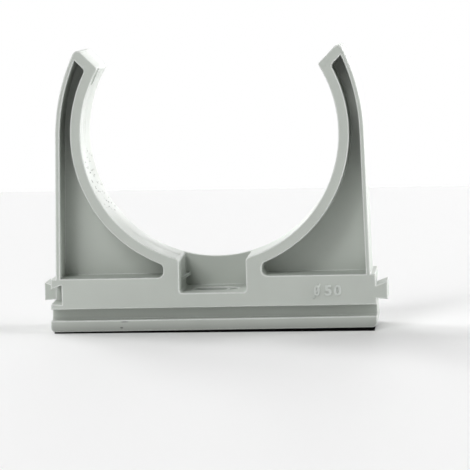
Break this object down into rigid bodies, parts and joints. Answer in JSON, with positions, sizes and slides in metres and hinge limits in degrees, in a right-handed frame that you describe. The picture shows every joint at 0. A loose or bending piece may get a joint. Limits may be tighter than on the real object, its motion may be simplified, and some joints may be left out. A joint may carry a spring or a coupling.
{
  "type": "conduit clip",
  "caption": "Open snap-in clip that holds a 50 mm round conduit on a flat base, with a screw pocket and dovetail ends that join neighbouring clips.",
  "frame": {"origin": "centre of the base's underside, the face that lies on the wall or floor", "axes": "+X along the base from the left end to the right end, +Y along the conduit from the open side of the pocket to the back, +Z away from the wall, towards the clip's mouth"},
  "size_m": [0.0678, 0.016, 0.0547],
  "materials": {
    "grey_plastic": "fine satin moulding, light grey"
  },
  "bodies": {
    "root": {"conduit_clip": "grey_plastic"}
  },
  "joints": []
}
